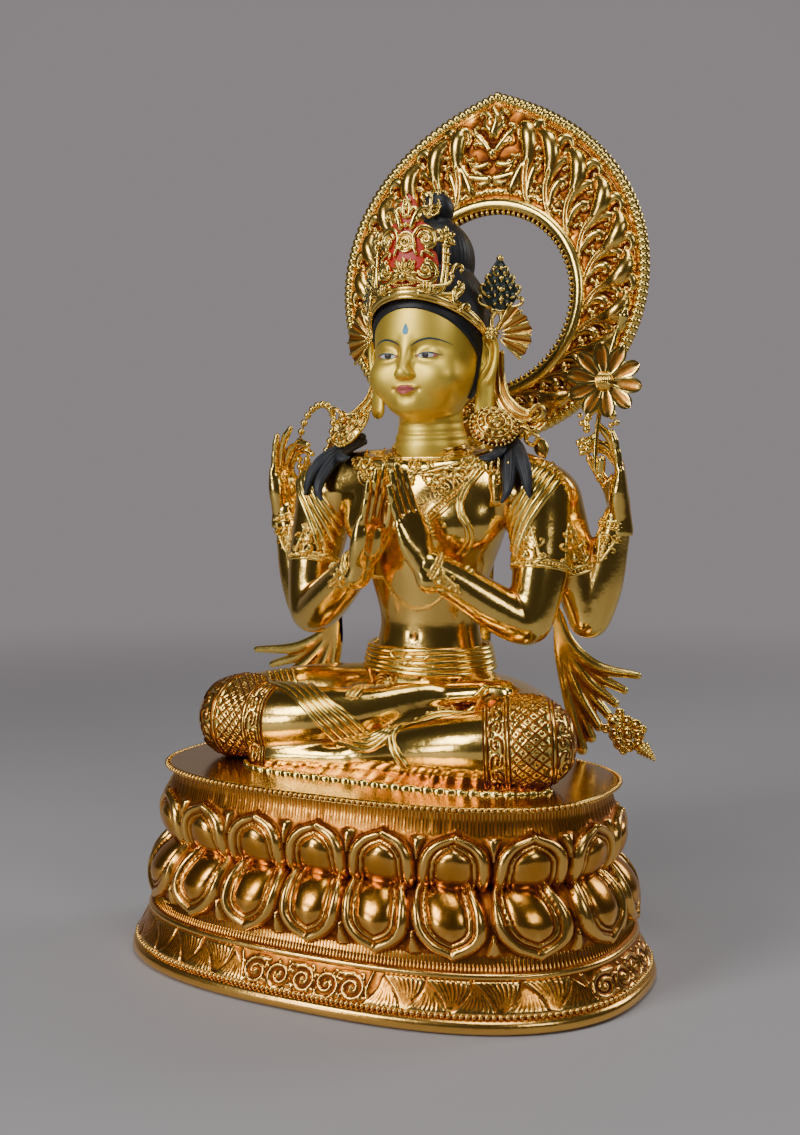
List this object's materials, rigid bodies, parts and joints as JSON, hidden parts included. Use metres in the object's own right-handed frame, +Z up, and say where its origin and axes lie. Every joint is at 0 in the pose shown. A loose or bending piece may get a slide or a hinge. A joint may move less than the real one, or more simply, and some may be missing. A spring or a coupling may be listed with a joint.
{
  "type": "seated deity statue",
  "caption": "Seated four-armed bodhisattva statue in gilt copper on a double lotus pedestal, with crown, prayer beads, lotus and a leaning flame halo.",
  "frame": {"origin": "middle of the pedestal's underside, which stands on the table", "axes": "+Z up, the figure faces -Y, its left hand side is +X"},
  "size_m": [0.4198, 0.359, 0.7199],
  "materials": {
    "pedestal_gilding": "gilt copper, polished high parts and brown recesses",
    "figure_gilding": "polished gilt copper, matte gold and black paint on the head",
    "crown_gilding": "gilt copper with red and green-black painted ground",
    "bead_gilding": "gilt copper",
    "lotus_gilding": "polished gilt copper",
    "halo_gilding": "gilt copper, polished high parts and brown recesses"
  },
  "bodies": {
    "root": {"pedestal": "pedestal_gilding", "figure": "figure_gilding", "crown": "crown_gilding", "prayer_beads": "bead_gilding", "lotus": "lotus_gilding", "halo": "halo_gilding"}
  },
  "joints": []
}
